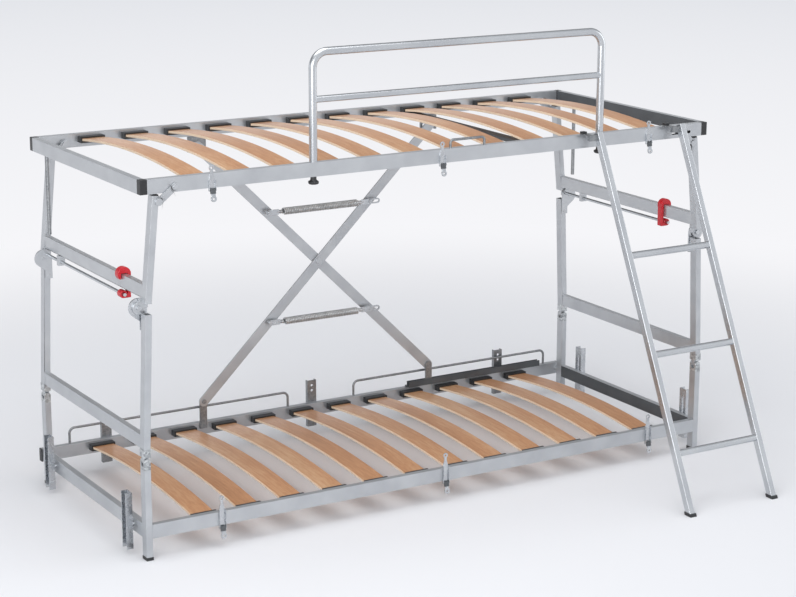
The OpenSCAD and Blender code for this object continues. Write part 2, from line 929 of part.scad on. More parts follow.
module right_knob() {
    color(black) placed() knob_shape(guard_right);
}

// Place on a ladder stile's middle line at height z, from the left stile's foot
function ladder_at(i, z) = [ladder_x + i * ladder_w - ladder_sway * z / ladder_top_z,
    -ladder_reach + z * tan(ladder_tilt) / cos(ladder_skew), z];

// Stands what is drawn upright on a stile's foot, leaning as the ladder does
module on_stile(i) {
    translate(ladder_at(i, 0)) rotate([-ladder_tilt, -ladder_skew, 0]) children();
}

// Outer shape of a stile between two distances from its foot
module stile_block(i, from, to, grow) {
    on_stile(i) box([-stile_half - grow, -stile_d / 2 - grow, from], [stile_half + grow, stile_d / 2 + grow, to]);
}

// Everything between two heights round a ladder foot, from which or by which it is cut level
module foot_slab(i, from, to) {
    x = ladder_x + i * ladder_w;
    box([x - foot_reach, -ladder_reach - foot_reach, from], [x + foot_reach, foot_reach - ladder_reach, to]);
}

module ladder_stiles() {
    color(bright) placed() for (i = [0, 1]) difference() {
        stile_block(i, -foot_reach, ladder_len, 0);
        on_stile(i) box([wall - stile_half, wall - stile_d / 2, -2 * foot_reach],
            [stile_half - wall, stile_d / 2 - wall, ladder_len - wall]);
        foot_slab(i, -2 * foot_reach, glide_lip);
    }
}

module ladder_rungs() {
    color(bright) placed() for (z = rung_z) difference() {
        rod(ladder_at(0, z), ladder_at(1, z), rung_d / 2);
        for (i = [0, 1]) stile_block(i, 0, ladder_len, 0);
    }
}

// Arms that lie over the front rail, each with a peg that drops into it
module ladder_hooks() {
    low = ladder_top_z - hook_low;
    z0 = upper_top + slip;
    color(charcoal) placed() for (i = [0, 1]) {
        x0 = hook_x[i] - hook_w / 2;
        difference() {
            union() {
                box([x0, hook_front, low], [hook_x[i] + hook_out, hook_front + hook_d, z0 + hook_t]);
                box([x0, hook_front, z0], [x0 + hook_w, rail_mid + peg_r, z0 + hook_t]);
            }
            stile_block(i, 0, 2 * ladder_len, 0);
        }
        rod([hook_x[i], rail_mid, z0 - peg_len], [hook_x[i], rail_mid, z0 + cut], peg_r);
    }
}

module ladder_caps() {
    z0 = upper_top + slip + hook_t;
    color(black) placed() for (i = [0, 1]) {
        difference() {
            intersection() {
                stile_block(i, -foot_reach, foot_reach, foot_cap_wall);
                foot_slab(i, 0, foot_cap_h);
            }
            intersection() {
                stile_block(i, -foot_reach, 2 * foot_reach, 0);
                foot_slab(i, glide_lip, foot_cap_h + cut);
            }
        }
        box([hook_x[i] - hook_w / 2, rail_mid + peg_r - tip_len, z0],
            [hook_x[i] + hook_w / 2, rail_mid + peg_r, z0 + tip_h]);
    }
}

// Bar that rises to the right, with its pivot bolt, spring studs and upper stud
module brace_bar_a() {
    hub_y = bar_back + slip;
    color(silver) placed() translate([0, 0, brace_mid_z]) rotate([0, -brace_angle, 0]) {
        difference() {
            flat_bar(bar_a_y, bar_len / 2);
            disc_y(-bar_len / 2, 0, bar_a_y - cut, bar_a_y + bar_t + cut, pin_r + run);
        }
        disc_y(0, 0, bar_a_y - boss_t, bar_a_y, boss_r);
        disc_y(0, 0, bar_a_y + bar_t, hub_y + boss_t, pin_r);
        disc_y(0, 0, hub_y, hub_y + boss_t, head_r);
        disc_y(bar_len / 2, 0, bar_a_y + bar_t, bar_back + seat_stud, pin_r);
        for (side = [-1, 1]) spring_stud(side * stud_out, bar_a_y);
    }
}

// Bar that falls to the right, with its spring studs and upper stud
module brace_bar_b() {
    color(silver) placed() translate([0, 0, brace_mid_z]) rotate([0, brace_angle, 0]) {
        difference() {
            flat_bar(bar_b_y, bar_len / 2);
            for (x = [0, bar_len / 2])
                disc_y(x, 0, bar_b_y - cut, bar_back + cut, pin_r + run);
        }
        disc_y(-bar_len / 2, 0, bar_back, bar_back + seat_stud, pin_r);
        for (side = [-1, 1]) spring_stud(side * stud_out, bar_b_y);
    }
}

// Stud that carries a spring's end plate in front of a bar's face
module spring_stud(x, face_y) {
    head_y = coil_y - eye_t / 2 - slip;
    disc_y(x, 0, head_y, face_y, stud_r);
    disc_y(x, 0, head_y - stud_head_h, head_y, stud_head_r);
}

// Foot on the brace's sliding corner, with its shoe in the track
module brace_slider() {
    half_w = foot_w / 2;
    y1 = bar_a_y + bar_t;
    shoe_low = lower_top + track_lift + track_wall + shoe_fit;
    shoe_y0 = rail_back - track_d + track_wall + shoe_fit;
    shoe_y1 = rail_back - track_wall - shoe_fit;
    head_y = bar_back + slip;
    color(galvanised) placed() {
        box([brace_x - half_w, bar_a_y, shoe_low], [brace_x + half_w, y1, brace_z]);
        disc_y(brace_x, brace_z, bar_a_y, y1, half_w);
        disc_y(brace_x, brace_z, y1, head_y + boss_t, pin_r);
        disc_y(brace_x, brace_z, head_y, head_y + boss_t, head_r);
        box([brace_x - shoe_len / 2, shoe_y0, shoe_low], [brace_x + shoe_len / 2, shoe_y1, shoe_low + shoe_h]);
    }
}

// Route of a spring's wire: straight end, lead-in, curls, lead-out, straight end
ring_count = curls * rings_per_curl;
function coil_point(i) =
    let (a = 360 * i / rings_per_curl)
    [(i / ring_count - 1 / 2) * coil_len, coil_r * cos(a), coil_r * sin(a)];
function lead_point(i, side) =
    let (share = i / lead_rings, a = side * 180 * share, r = coil_r * (1 - share))
    [side * (coil_len / 2 + lead_in * share), r * cos(a), r * sin(a)];
spring_route = concat(
    [[-spring_half, 0, 0]],
    [for (i = [lead_rings : -1 : 1]) lead_point(i, -1)],
    [for (i = [0 : ring_count]) coil_point(i)],
    [for (i = [1 : lead_rings]) lead_point(i, 1)],
    [[spring_half, 0, 0]]);
route_last = len(spring_route) - 1;

// Least gap of the wire to itself, measured between points over half a curl apart
self_gap = min([for (i = [0 : route_last])
    for (j = [i + rings_per_curl / 2 : min(i + 2 * rings_per_curl, route_last)])
        norm(spring_route[j] - spring_route[i]) - wire_d]);
echo(spring_self_gap_mm = self_gap);

// Direction of the wire at a point, and the two directions across it
function unit(v) = v / norm(v);
function wire_tangent(i) = i == 0 || i == route_last ? [1, 0, 0]
    : unit(spring_route[i + 1] - spring_route[i - 1]);
function wire_turn(i) =
    let (turn = 360 * (i - lead_rings - 1) / rings_per_curl,
        first = i <= lead_rings, last = i > lead_rings + 1 + ring_count,
        out = last ? i - lead_rings - 1 - ring_count : lead_rings + 1 - i,
        share = min(out / lead_rings, 1))
    first ? -180 * share : last ? 180 * share : turn;
function wire_ring(i) =
    let (t = wire_tangent(i), a = wire_turn(i), e = [0, cos(a), sin(a)],
        n = unit(e - (e * t) * t), b = cross(t, n))
    [for (k = [0 : wire_sides - 1]) let (f = 360 * k / wire_sides)
        spring_route[i] + wire_r * (cos(f) * n + sin(f) * b)];

// One unbroken tube of wire along the route, closed at both ends
module spring_wire() {
    rings = [for (i = [0 : route_last]) wire_ring(i)];
    points = [for (ring = rings) for (p = ring) p];
    sides = [for (i = [0 : route_last - 1]) for (k = [0 : wire_sides - 1])
        let (a = i * wire_sides + k, b = i * wire_sides + (k + 1) % wire_sides)
        for (face = [[a, b, a + wire_sides], [b, b + wire_sides, a + wire_sides]]) face];
    near_end = [for (k = [1 : wire_sides - 2]) [0, k + 1, k]];
    far = route_last * wire_sides;
    far_end = [for (k = [1 : wire_sides - 2]) [far, far + k, far + k + 1]];
    polyhedron(points = points, faces = concat(sides, near_end, far_end), convexity = 10);
}

// Plate at a spring's end, drawn at the right; slot is the length of its hole
module eye_plate(slot) {
    y0 = coil_y - eye_t / 2;
    y1 = y0 + eye_t;
    end_x = spring_x + slot;
    difference() {
        union() {
            box([spring_half + wire_r, y0, -eye_w / 2], [end_x, y1, eye_w / 2]);
            disc_y(end_x, 0, y0, y1, eye_end);
            rod([spring_half, coil_y, 0], [spring_half + 2 * wire_d, coil_y, 0], wire_r);
        }
        disc_y(spring_x, 0, y0 - cut, y1 + cut, stud_r + slip);
        if (slot > 0) {
            disc_y(end_x, 0, y0 - cut, y1 + cut, stud_r + slip);
            box([spring_x, y0 - cut, -stud_r - slip], [end_x, y1 + cut, stud_r + slip]);
        }
    }
}

// Places a spring or its plate over or under the brace's middle
module at_spring(side) {
    translate([0, 0, brace_mid_z + side * spring_rise]) children();
}

module upper_spring() {
    color(galvanised) placed() at_spring(1) translate([0, coil_y, 0]) spring_wire();
}

module upper_spring_left_eye() {
    color(galvanised) placed() at_spring(1) mirror([1, 0, 0]) eye_plate(0);
}

module upper_spring_right_eye() {
    color(galvanised) placed() at_spring(1) eye_plate(eye_slot);
}

module lower_spring() {
    color(galvanised) placed() at_spring(-1) translate([0, coil_y, 0]) spring_wire();
}

module lower_spring_left_eye() {
    color(galvanised) placed() at_spring(-1) mirror([1, 0, 0]) eye_plate(0);
}

module lower_spring_right_eye() {
    color(galvanised) placed() at_spring(-1) eye_plate(eye_slot);
}

// Clip plate on a front rail's face, with its ears and the pin of its lever
module clip_base(x, low, top, pivot_z) {
    half_w = clip_w / 2;
    difference() {
        box([x - half_w, -clip_t, low], [x + half_w, 0, top]);
        disc_y(x, top - clip_hole_drop, -clip_t - cut, cut, clip_hole_r);
    }
    for (ear_x = [x - half_w, x + half_w - clip_cheek])
        box([ear_x, -clip_reach - clip_barrel_r, pivot_z - clip_barrel_r],
            [ear_x + clip_cheek, -clip_t, pivot_z + clip_barrel_r]);
    rod([x - half_w, -clip_reach, pivot_z], [x + half_w, -clip_reach, pivot_z], clip_pin_r);
}

// Lever that hangs from a clip's pin, tipped out at its lower end
module clip_lever(x, pivot_z, length) {
    half_w = clip_w / 2 - clip_cheek - slip;
    translate([x, -clip_reach, pivot_z]) rotate([-lever_angle, 0, 0]) difference() {
        union() {
            translate([-half_w, 0, 0]) rotate([0, 90, 0]) cylinder(r = clip_barrel_r, h = 2 * half_w);
            box([-half_w, -lever_t, -length], [half_w, 0, 0]);
        }
        translate([-half_w - cut, 0, 0]) rotate([0, 90, 0])
            cylinder(r = clip_pin_r + run, h = 2 * half_w + 2 * cut);
    }
}

module upper_clip_bases() {
    color(bright) placed() for (x = upper_clip_x)
        clip_base(x, upper_clip_low, upper_clip_top, upper_lever_z);
}

module lower_clip_bases() {
    color(bright) placed() for (x = lower_clip_x)
        clip_base(x, lower_clip_low, lower_clip_top, lower_lever_z);
}

module upper_clip_left() {
    color(bright) placed() clip_lever(upper_clip_x[0], upper_lever_z, upper_lever_len);
}

module upper_clip_middle() {
    color(bright) placed() clip_lever(upper_clip_x[1], upper_lever_z, upper_lever_len);
}

module upper_clip_right() {
    color(bright) placed() clip_lever(upper_clip_x[2], upper_lever_z, upper_lever_len);
}

module lower_clip_left() {
    color(bright) placed() clip_lever(lower_clip_x[0], lower_lever_z, lower_lever_len);
}

module lower_clip_middle() {
    color(bright) placed() clip_lever(lower_clip_x[1], lower_lever_z, lower_lever_len);
}

module lower_clip_right() {
    color(bright) placed() clip_lever(lower_clip_x[2], lower_lever_z, lower_lever_len);
}

lower_front_rail();
lower_back_rail();
lower_end_rails();
legs();
leg_knuckles();
lower_slats();
lower_slat_holders();
lower_plastic_caps();
arm_brackets();
back_brackets();
mattress_hoops();
brace_track();
brace_foot();
lower_clip_bases();
left_lower_frame();
left_knee_plates();
right_lower_frame();
right_knee_plates();
left_upper_frame();
left_hinge_plates();
right_upper_frame();
right_hinge_plates();
left_handle();
left_latch_rod();
right_handle();
right_latch_rod();
upper_front_rail();
upper_back_rail();
upper_end_rails();
upper_corner_plugs();
upper_slats();
upper_slat_holders();
upper_cross_member();
stop_struts();
rail_hoop();
brace_seats();
upper_clip_bases();
guard_rail();
left_knob();
right_knob();
ladder_stiles();
ladder_rungs();
ladder_hooks();
ladder_caps();
brace_bar_a();
brace_bar_b();
brace_slider();
upper_spring();
upper_spring_left_eye();
upper_spring_right_eye();
lower_spring();
lower_spring_left_eye();
lower_spring_right_eye();
upper_clip_left();
upper_clip_middle();
upper_clip_right();
lower_clip_left();
lower_clip_middle();
lower_clip_right();
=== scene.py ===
# %% [markdown]
# The object is the bare metal frame of a sofa bed that has been unfolded into a
# bunk bed: two slatted beds, two folding end frames, a scissor brace with two
# springs, a guard rail and a ladder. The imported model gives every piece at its
# real place in metres, so this lesson only adds looks and fine shapes to it.

# %% Load the frame and keep its box
import json
import math
import bpy
import bmesh
from mathutils import Matrix, Vector


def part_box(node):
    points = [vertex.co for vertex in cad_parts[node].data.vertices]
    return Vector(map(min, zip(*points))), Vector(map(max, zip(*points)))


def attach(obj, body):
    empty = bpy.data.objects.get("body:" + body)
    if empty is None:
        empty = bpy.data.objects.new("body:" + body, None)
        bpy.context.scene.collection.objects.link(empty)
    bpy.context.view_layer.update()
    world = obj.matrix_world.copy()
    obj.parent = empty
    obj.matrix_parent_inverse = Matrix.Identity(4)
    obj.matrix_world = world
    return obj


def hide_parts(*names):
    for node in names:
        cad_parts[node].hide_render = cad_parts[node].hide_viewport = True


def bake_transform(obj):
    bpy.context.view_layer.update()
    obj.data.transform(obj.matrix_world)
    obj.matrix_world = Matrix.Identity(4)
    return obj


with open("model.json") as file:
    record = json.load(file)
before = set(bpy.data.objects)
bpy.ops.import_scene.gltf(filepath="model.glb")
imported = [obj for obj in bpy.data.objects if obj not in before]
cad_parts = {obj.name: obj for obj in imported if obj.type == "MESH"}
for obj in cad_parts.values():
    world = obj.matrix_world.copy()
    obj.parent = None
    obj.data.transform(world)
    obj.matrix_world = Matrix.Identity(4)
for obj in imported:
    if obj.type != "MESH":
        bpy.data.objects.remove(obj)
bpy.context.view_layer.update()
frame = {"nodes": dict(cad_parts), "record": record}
MM = 0.001

# %% [markdown]
# The photograph was taken with a long lens from the front left, about a metre
# above the upper bed. The camera's place was solved from the rails and posts. It
# is given from the middle of the front rail's face, with its height from the
# floor, and the rail's place is read from the model, so the camera follows it.

# %% Camera
rail_face_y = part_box("upper_front_rail")[0].y
CAMERA_PLACE = Vector((-3255, -5150, 2189)) * MM
CAMERA_TURN = math.radians(30.94)
CAMERA_DROP = math.radians(14.14)
CAMERA_ROLL = math.radians(0.12)
FOCAL_PIXELS, IMAGE_PIXELS = 2054, 796
SENSOR_WIDTH = 36

camera = bpy.data.cameras.new("camera")
camera.sensor_width = SENSOR_WIDTH
camera.lens = SENSOR_WIDTH * (FOCAL_PIXELS / IMAGE_PIXELS)
camera.clip_end = 200
camera_object = bpy.data.objects.new("camera", camera)
bpy.context.scene.collection.objects.link(camera_object)
camera_object.location = CAMERA_PLACE + Vector((0, rail_face_y, 0))
QUARTER = math.radians(90)
aim = Matrix.Rotation(-CAMERA_TURN, 4, "Z") @ Matrix.Rotation(QUARTER - CAMERA_DROP, 4, "X")
camera_object.rotation_euler = (aim @ Matrix.Rotation(CAMERA_ROLL, 4, "Z")).to_euler()
bpy.context.scene.camera = camera_object
print("lens in mm:", round(camera.lens, 1))

# %% [markdown]
# Colours are written as the hex values that a paint or screen chart gives, and
# one function turns them into the linear numbers that the renderer mixes. A
# second helper adds one shader node of any kind with its settings and links,
# which keeps each material short enough to read from top to bottom.

# %% Colour and shader helpers
def linear(hex_colour):
    """Linear RGBA of an sRGB hex colour."""
    parts = [int(hex_colour[i:i + 2], 16) / 255 for i in (1, 3, 5)]
    return tuple(c / 12.92 if c <= 0.04045 else ((c + 0.055) / 1.055) ** 2.4 for c in parts) + (1,)


def add(tree, kind, settings=None, stops=(), **inputs):
    """Adds a node with its settings, its colour stops and its links.

    A stop is a place on a colour ramp and a hex colour. An input is a value or a socket to
    link, and at3 is the input with index 3.
    """
    node = tree.nodes.new("ShaderNode" + kind)
    for name, value in (settings or {}).items():
        setattr(node, name, value)
    for _ in stops[2:]:
        node.color_ramp.elements.new(1)
    for number, (place, colour) in enumerate(stops):
        element = node.color_ramp.elements[number]
        element.position, element.color = place, linear(colour)
    for name, value in inputs.items():
        key = int(name[2:]) if name.startswith("at") else name.replace("_", " ")
        socket = node.inputs[key]
        if isinstance(value, bpy.types.NodeSocket):
            tree.links.new(value, socket)
        else:
            socket.default_value = value
    return node


def new_material(name):
    """An empty material and its tree, with only the output node."""
    material = bpy.data.materials.new(name)
    material.use_nodes = True
    tree = material.node_tree
    tree.nodes.clear()
    return material, tree, add(tree, "OutputMaterial")


def finish_with(tree, output, shader):
    """Links the last shader to the output."""
    tree.links.new(shader.outputs[0], output.inputs[0])


print("sRGB #808080 in linear light:", round(linear("#808080")[0], 3))


# %% [markdown]
# Powder coat is a paint that is baked on as dust. It leaves a fine ripple, like
# the skin of an orange, about a millimetre and a half from crest to crest, and
# metal flakes in it give the silver. A metallic share under one keeps some of
# the paint's body colour, so the tubes look grey and not like mirrors.

# %% Silver and charcoal powder coat
def powder_coat(name, base, shade, metallic, roughness):
    """A baked powder paint with a faint orange-peel ripple."""
    ripple_mm, cloud_mm = 1.5, 90
    material, tree, output = new_material(name)
    place = add(tree, "TexCoord").outputs["Object"]
    clouds = add(tree, "TexNoise", Vector=place, Scale=1 / (cloud_mm * MM), Detail=3)
    colour = add(tree, "ValToRGB", stops=[(0.3, shade), (0.7, base)], Fac=clouds.outputs[0])
    ripple = add(tree, "TexNoise", Vector=place, Scale=1 / (ripple_mm * MM), Detail=1)
    bump = add(tree, "Bump", Height=ripple.outputs[0], Strength=0.25, Distance=0.05 * MM)
    wear = add(tree, "MapRange", Value=clouds.outputs[0], at3=roughness - 0.05,
               at4=roughness + 0.07)
    shader = add(tree, "BsdfPrincipled", Base_Color=colour.outputs[0], Metallic=metallic,
                 Roughness=wear.outputs[0], Normal=bump.outputs[0])
    finish_with(tree, output, shader)
    return material


silver_coat = powder_coat("silver_powder_coat", "#c4c7ca", "#b7babe", 0.75, 0.3)
# The charcoal coat colours the track and the catches, and is painted shade on the end rails' sides
# that face the bed and on the cross member.
charcoal_coat_and_painted_shade = powder_coat("charcoal_powder_coat_and_painted_shade", "#595c5f", "#4c4f52", 0.3, 0.42)
print("coats:", silver_coat.name, charcoal_coat_and_painted_shade.name)

# %% [markdown]
# The brackets, clips, springs and wires and the fronts of the knees are plated
# with zinc, and the knuckles are cast from it. Zinc is a true metal with a soft,
# cloudy sheen: patches a few millimetres wide turn the light a little
# differently, and wider clouds lie over them.

# %% Zinc plate, dull and bright
def zinc_plate(name, base, shade, roughness, patch_mm, metallic=1.0):
    """Plated or cast zinc: cells of crystal with clouds four times as wide over them."""
    material, tree, output = new_material(name)
    place = add(tree, "TexCoord").outputs["Object"]
    patches = add(tree, "TexVoronoi", Vector=place, Scale=1 / (patch_mm * MM))
    clouds = add(tree, "TexNoise", Vector=place, Scale=1 / (4 * patch_mm * MM), Detail=4)
    mixed = add(tree, "Mix", {"data_type": "FLOAT"}, at0=0.5, at2=patches.outputs[1],
                at3=clouds.outputs[0])
    colour = add(tree, "ValToRGB", stops=[(0.25, shade), (0.75, base)], Fac=mixed.outputs[0])
    spread = add(tree, "MapRange", Value=mixed.outputs[0], at3=roughness - 0.06,
                 at4=roughness + 0.1)
    bump = add(tree, "Bump", Height=clouds.outputs[0], Strength=0.15, Distance=0.1 * MM)
    shader = add(tree, "BsdfPrincipled", Base_Color=colour.outputs[0], Metallic=metallic,
                 Roughness=spread.outputs[0], Normal=bump.outputs[0])
    finish_with(tree, output, shader)
    return material


dull_zinc = zinc_plate("zinc_plated_steel", "#a3a5a7", "#85888b", 0.38, 5)
bright_zinc = zinc_plate("bright_zinc_plate", "#cfd2d5", "#bfc2c6", 0.24, 12)
spring_steel = zinc_plate("spring_steel", "#c3c5c6", "#a2a4a5", 0.34, 9, 0.55)
cast_zinc = zinc_plate("cast_zinc", "#dfe2e3", "#8b8f92", 0.34, 6)
print("zinc finishes:", dull_zinc.name, bright_zinc.name, spring_steel.name, cast_zinc.name)

# %% [markdown]
# The slats are laminated beech: thin sheets glued with the grain along the slat
# and sealed with clear lacquer. Beech has short dark flecks and a slow change of
# tone from board to board. The cut edges show the pale end of each sheet as fine
# stripes, so they get a material of their own with the glue lines in it.

# %% Beech faces and laminated edges
def beech_face(name):
    """The lacquered face of a slat, with the grain along y."""
    streak_mm, fleck_mm, board_mm = 5, 1.1, 147
    material, tree, output = new_material(name)
    where = add(tree, "TexCoord").outputs["Object"]
    grain_place = add(tree, "Mapping", Vector=where, Scale=(1, 0.045, 1)).outputs[0]
    board_place = add(tree, "Mapping", Vector=where, Scale=(1, 0.12, 1)).outputs[0]
    board = add(tree, "TexNoise", Vector=board_place, Scale=1 / (board_mm * MM), Detail=2)
    streak = add(tree, "TexNoise", Vector=grain_place, Scale=1 / (streak_mm * MM), Detail=4,
                 Roughness=0.6)
    fleck = add(tree, "TexNoise", Vector=grain_place, Scale=1 / (fleck_mm * MM), Detail=1)
    tone = add(tree, "Mix", {"data_type": "FLOAT"}, at0=0.5, at2=board.outputs[0],
               at3=streak.outputs[0])
    wood_tones = [(0.30, "#a9764e"), (0.50, "#c28d62"), (0.70, "#d6ae86")]
    wood = add(tree, "ValToRGB", stops=wood_tones, Fac=tone.outputs[0])
    fleck_tones = [(0.62, "#ffffff"), (0.72, "#c79c76")]
    spots = add(tree, "ValToRGB", stops=fleck_tones, Fac=fleck.outputs[0])
    colour = add(tree, "Mix", {"data_type": "RGBA", "blend_type": "MULTIPLY"}, at0=0.5,
                 at6=wood.outputs[0], at7=spots.outputs[0])
    bump = add(tree, "Bump", Height=streak.outputs[0], Strength=0.2, Distance=0.1 * MM)
    shader = add(tree, "BsdfPrincipled", Base_Color=colour.outputs[2], Roughness=0.42,
                 Normal=bump.outputs[0], Coat_Weight=0.4, Coat_Roughness=0.22)
    finish_with(tree, output, shader)
    return material


def beech_edge(name):
    """The cut edge, one band to a sheet; the wave texture repeats every pi / (10 * Scale)."""
    sheet_mm = 1.4
    material, tree, output = new_material(name)
    where = add(tree, "UVMap", {"uv_map": "sheets"})
    stripes = add(tree, "TexWave", {"wave_type": "BANDS", "bands_direction": "Y"},
                  Vector=where.outputs[0], Scale=1 / (sheet_mm * math.pi), Distortion=0.4,
                  Detail=1)
    sheet_tones = [(0.15, "#d9b694"), (0.5, "#f3dfc6")]
    colour = add(tree, "ValToRGB", stops=sheet_tones, Fac=stripes.outputs[0])
    shader = add(tree, "BsdfPrincipled", Base_Color=colour.outputs[0], Roughness=0.5)
    finish_with(tree, output, shader)
    return material


# %% [markdown]
# The guard rail, the ladder and the latch rods have a bright drawn finish.
# Drawing through a die leaves fine lines along a tube, so the noise is stretched,
# and the metal is smoother and lighter than the coated rails. Real die lines are
# too fine to see here, so they are drawn about a millimetre apart and still show
# only close up.

# %% Bright drawn tube
def drawn_tube(name):
    """Bright tube with die lines along z and a haze far wider than the tube."""
    line_mm, haze_mm = 1.2, 120
    material, tree, output = new_material(name)
    where = add(tree, "TexCoord").outputs["Object"]
    along = add(tree, "Mapping", Vector=where, Scale=(1, 1, 0.05)).outputs[0]
    lines = add(tree, "TexNoise", Vector=along, Scale=1 / (line_mm * MM), Detail=2)
    haze = add(tree, "TexNoise", Vector=where, Scale=1 / (haze_mm * MM), Detail=1)
    tones = [(0.3, "#c0c3c7"), (0.7, "#cbced1")]
    colour = add(tree, "ValToRGB", stops=tones, Fac=haze.outputs[0])
    spread = add(tree, "MapRange", Value=lines.outputs[0], at3=0.19, at4=0.23)
    shader = add(tree, "BsdfPrincipled", Base_Color=colour.outputs[0], Metallic=0.9,
                 Roughness=spread.outputs[0])
    finish_with(tree, output, shader)
    return material


bright_tube = drawn_tube("bright_drawn_tube")
beech = beech_face("lacquered_beech")
beech_cut = beech_edge("laminated_beech_edge")
print("tube and wood:", bright_tube.name, beech.name, beech_cut.name)

# %% [markdown]
# The end caps, slat holders, knobs and feet are moulded plastic. The mould was
# etched, which leaves a fine grain and a soft sheen on the black pieces, while
# the red latch handles came from a smooth mould and shine more. The real grain
# is too fine to see here, so it is drawn coarser, just under a millimetre, and
# still shows only close up.

# %% Moulded plastics
def moulded(name, base, shade, roughness, grain_mm, depth):
    """A moulded plastic with the grain of its mould."""
    material, tree, output = new_material(name)
    place = add(tree, "TexCoord").outputs["Object"]
    grain = add(tree, "TexNoise", Vector=place, Scale=1 / (grain_mm * MM), Detail=2)
    colour = add(tree, "ValToRGB", stops=[(0.3, shade), (0.7, base)], Fac=grain.outputs[0])
    bump = add(tree, "Bump", Height=grain.outputs[0], Strength=depth, Distance=0.1 * MM)
    shader = add(tree, "BsdfPrincipled", Base_Color=colour.outputs[0], Roughness=roughness,
                 Normal=bump.outputs[0])
    finish_with(tree, output, shader)
    return material


black_plastic = moulded("moulded_black_plastic", "#2a2b2d", "#222325", 0.42, 0.8, 0.3)
red_plastic = moulded("moulded_red_plastic", "#c8202c", "#b81a26", 0.26, 3, 0.05)
print("materials so far:", len(bpy.data.materials))

# %% [markdown]
# Bent and welded tube can't have knife edges: the rolls leave a corner radius,
# and punched sheet is tumbled or ground. Most nodes have the right shape already,
# so each gets a copy that stands for it, while the node stays for the collision
# model.

# %% Helpers for new pieces
body_nodes = frame["record"]["behaviour"]["bodies"]
bodies_of = {node: body for body, nodes in body_nodes.items() for node in nodes}
slots_of = {part["node"]: part["material_slot"] for part in frame["record"]["subparts"]}


def settle(piece, body, slot, *nodes):
    """Hands a finished piece to its body and hides the nodes it stands for. The slot is not used.
    """
    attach(piece, body)
    if nodes:
        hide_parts(*nodes)
    return piece


def object_from(bm, name, *materials):
    """Makes a smooth-shaded object at the origin from a bmesh."""
    bmesh.ops.recalc_face_normals(bm, faces=bm.faces)
    mesh = bpy.data.meshes.new(name)
    bm.to_mesh(mesh)
    bm.free()
    for face in mesh.polygons:
        face.use_smooth = True
    for material in materials:
        mesh.materials.append(material)
    piece = bpy.data.objects.new(name, mesh)
    bpy.context.scene.collection.objects.link(piece)
    return piece


EDGE_STEPS, EDGE_ANGLE = 2, math.radians(40)


def round_edges(piece, width_mm):
    """Rounds every edge that turns by more than EDGE_ANGLE."""
    bevel = piece.modifiers.new("rounded edges", "BEVEL")
    bevel.width = width_mm * MM
    bevel.segments = EDGE_STEPS
    bevel.limit_method = "ANGLE"
    bevel.angle_limit = EDGE_ANGLE
    bevel.use_clamp_overlap = False
    bevel.harden_normals = True
    return piece


print("nodes on bodies:", len(bodies_of))

# %% [markdown]
# A copy's doubled vertices are merged and its flat triangles joined before the
# bevel. A flat edge that meets a corner at a shallow angle would drag the bevel
# along it and tear a wedge into the face, so only the edges that nothing crowds
# are rounded. A weighted normal then keeps the large faces flat.

# %% A rounded copy of a node
FLAT, SHARP, CROWDED = math.radians(0.5), math.radians(35), math.radians(20)
WELD, BEVEL_STEPS = 0.005 * MM, 3


def has_room(edge, sharp):
    """Whether every flat edge at both of its ends stands well off it."""
    for vert in edge.verts:
        along = edge.other_vert(vert).co - vert.co
        flat = [other.other_vert(vert).co - vert.co
                for other in vert.link_edges if other not in sharp]
        if any(along.angle(away) < CROWDED for away in flat):
            return False
    return True


def soften(node, width_mm, material):
    """A rounded copy of a node that stands for it."""
    bm = bmesh.new()
    bm.from_mesh(frame["nodes"][node].data)
    bmesh.ops.remove_doubles(bm, verts=bm.verts, dist=WELD)
    bmesh.ops.dissolve_limit(bm, angle_limit=FLAT, verts=bm.verts, edges=bm.edges)
    sharp = {edge for edge in bm.edges if edge.is_manifold and edge.calc_face_angle() > SHARP}
    clear = [edge for edge in bm.edges if edge in sharp and has_room(edge, sharp)]
    bmesh.ops.bevel(bm, geom=clear, offset=width_mm * MM, offset_type="OFFSET",
                    segments=BEVEL_STEPS, profile=0.5, affect="EDGES", clamp_overlap=False,
                    material=-1, loop_slide=False)
    piece = object_from(bm, "soft_" + node, material)
    piece.data.set_sharp_from_angle(angle=SHARP)
    piece.modifiers.new("flat faces stay flat", "WEIGHTED_NORMAL").keep_sharp = True
    return settle(piece, bodies_of[node], slots_of[node], node)


print("a crowded edge stands within", round(math.degrees(CROWDED)), "degrees of a flat one")

# %% [markdown]
# The rails, legs and end frames are coated silver, and so are the hinge plates
# and the brace's bars. The knees' front plates are left bright. The sides of the
# end rails that face the bed get the charcoal coat as painted shade, for the shade
# and dark reflection that fall there, so these pieces carry a second material on
# some of their faces.

# %% Coated tubes and plates
TUBE_EDGE, BAR_EDGE, HINGE_EDGE, KNEE_EDGE = 0.8, 0.6, 0.5, 0.4
SIDEWAYS = 0.9
coated = {
    TUBE_EDGE: ["lower_front_rail", "lower_back_rail", "legs", "left_lower_frame",
                "right_lower_frame", "left_upper_frame", "right_upper_frame", "upper_front_rail",
                "upper_back_rail"],
    HINGE_EDGE: ["left_hinge_plates", "right_hinge_plates"]}
for width_mm, nodes in coated.items():
    for node in nodes:
        soften(node, width_mm, silver_coat)
for node in ["left_knee_plates", "right_knee_plates"]:
    plates = soften(node, KNEE_EDGE, silver_coat)
    plates.data.materials.append(bright_zinc)
    for face in plates.data.polygons:
        face.material_index = 1 if face.center.y < 0 else 0
